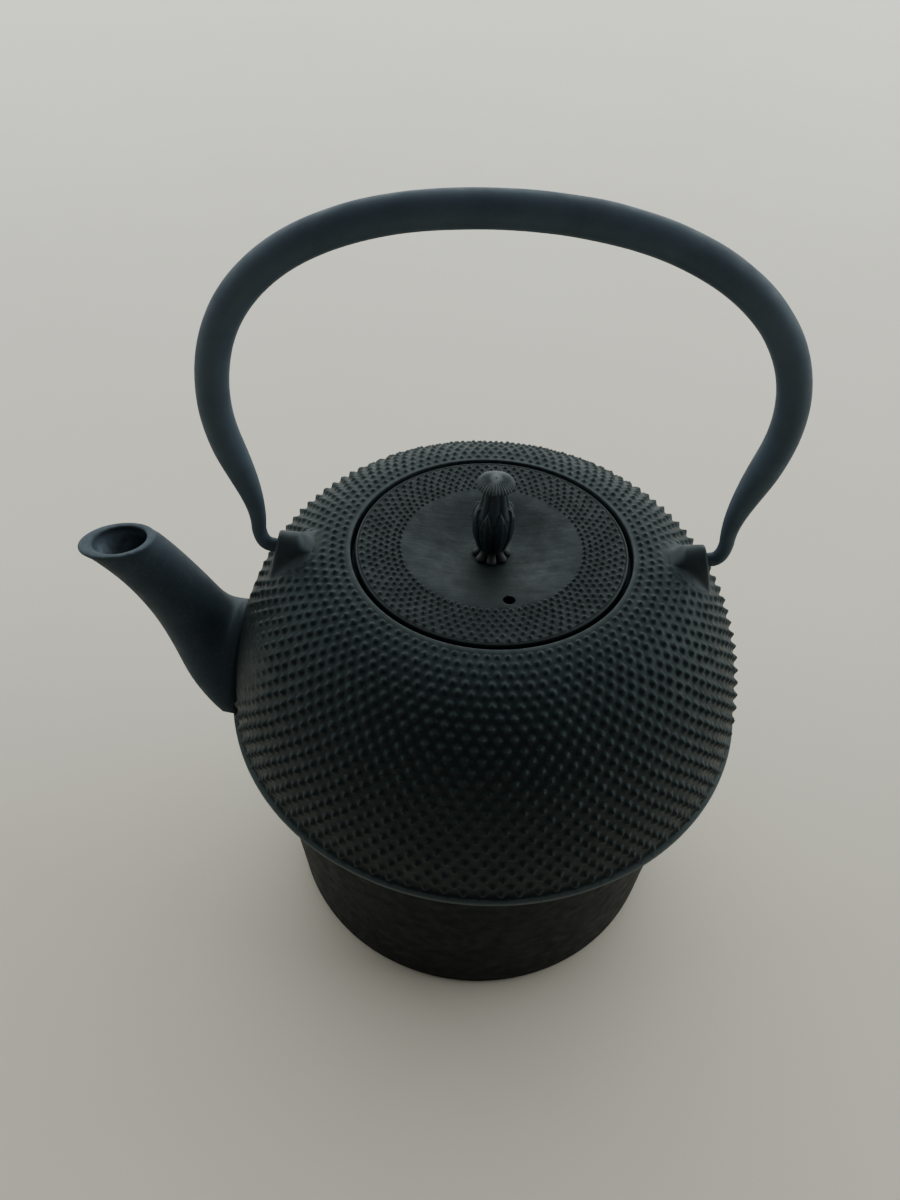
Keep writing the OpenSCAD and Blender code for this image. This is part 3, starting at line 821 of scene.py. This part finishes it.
place(body(), BODY_IRON, "kettle", "body_shell")
place(spout(), SPOUT_IRON, "kettle", "spout")
place(lug("lug_left_casting", -1), LUG_IRON, "kettle", "lug_left")
place(lug("lug_right_casting", 1), LUG_IRON, "kettle", "lug_right")
place(lid(), LID_IRON, "lid", "lid_plate")
place(knob(), KNOB_IRON, "knob", "knob")
place(knob_seat(), SEAT_IRON, "knob", "knob_seat")
place(handle(), HANDLE_IRON, "handle", "bail_handle")
for plain_node in ("knob_stem", "stem_washer"):
    paint(frame["nodes"][plain_node], STEM_IRON)


# ---- Floor, light and camera ----

def floor_material():
    """Pale table top: faint mottling and a soft sheen."""
    material = bpy.data.materials.new("table_top")
    material.use_nodes = True
    tree = material.node_tree
    shader = tree.nodes["Principled BSDF"]
    coords = tree.nodes.new("ShaderNodeTexCoord").outputs["Object"]
    base = mixed(tree, spread(tree, noise(tree, coords, 3, 4), 0.3, 0.7, 0, 1),
                 (0.815, 0.752, 0.620), (0.855, 0.798, 0.672))
    link(tree, base, shader.inputs["Base Color"])
    link(tree, spread(tree, noise(tree, coords, 40, 3), 0.3, 0.7, 0.30, 0.36), shader.inputs["Roughness"])
    return material


def area_light(name, place_at, look_at, width, height, power, colour=(1, 1, 1)):
    """A soft rectangular light."""
    data = bpy.data.lights.new(name, "AREA")
    data.shape, data.size, data.size_y = "RECTANGLE", width, height
    data.energy, data.color = power, colour
    light = bpy.data.objects.new(name, data)
    light.location = place_at
    light.rotation_mode = "QUATERNION"
    light.rotation_quaternion = (Vector(look_at) - Vector(place_at)).to_track_quat("-Z", "Y")
    light.visible_camera = False
    bpy.context.scene.collection.objects.link(light)


bpy.ops.mesh.primitive_plane_add(size=8, location=(0, 0, 0))
floor = bpy.context.object
floor.name = "floor"
floor.data.materials.append(floor_material())

area_light("window", (0.0, 2.6, 1.5), (0, 0, 0.5), 7.0, 2.9, 134, (0.94, 1.0, 0.99))
area_light("overhead", (0.0, 0.5, 2.4), (0, 0, 0.1), 2.4, 2.4, 7, (1.0, 0.99, 0.97))
area_light("left_panel", (-2.6, 0.5, 1.1), (0, 0, 0.2), 2.6, 2.0, 24, (0.94, 1.0, 1.0))
area_light("right_panel", (2.6, 0.5, 1.1), (0, 0, 0.2), 2.6, 2.0, 42, (0.94, 1.0, 1.0))

world = bpy.data.worlds.new("studio")
bpy.context.scene.world = world
world.use_nodes = True
world.node_tree.nodes["Background"].inputs["Color"].default_value = (0.97, 1.0, 0.98, 1)
world.node_tree.nodes["Background"].inputs["Strength"].default_value = 0.12

CAMERA_AT = Vector((-10.91, -223.05, 351.30)) * MM
YAW, PITCH, ROLL = np.radians((-0.42, -44.73, 1.69))


def camera():
    """The camera at the photograph's viewing angle."""
    data = bpy.data.cameras.new("camera")
    data.sensor_width, data.lens = 36, 28.5
    data.clip_start, data.clip_end = 0.01, 20
    cam = bpy.data.objects.new("camera", data)
    forward = Vector((np.sin(YAW) * np.cos(PITCH), np.cos(YAW) * np.cos(PITCH), np.sin(PITCH)))
    right = Vector((np.cos(YAW), -np.sin(YAW), 0))
    up = right.cross(forward)
    across = right * np.cos(ROLL) + up * np.sin(ROLL)
    upright = up * np.cos(ROLL) - right * np.sin(ROLL)
    turn = Matrix((across, upright, -forward)).transposed()
    cam.matrix_world = Matrix.Translation(CAMERA_AT) @ turn.to_4x4()
    bpy.context.scene.collection.objects.link(cam)
    bpy.context.scene.camera = cam


camera()
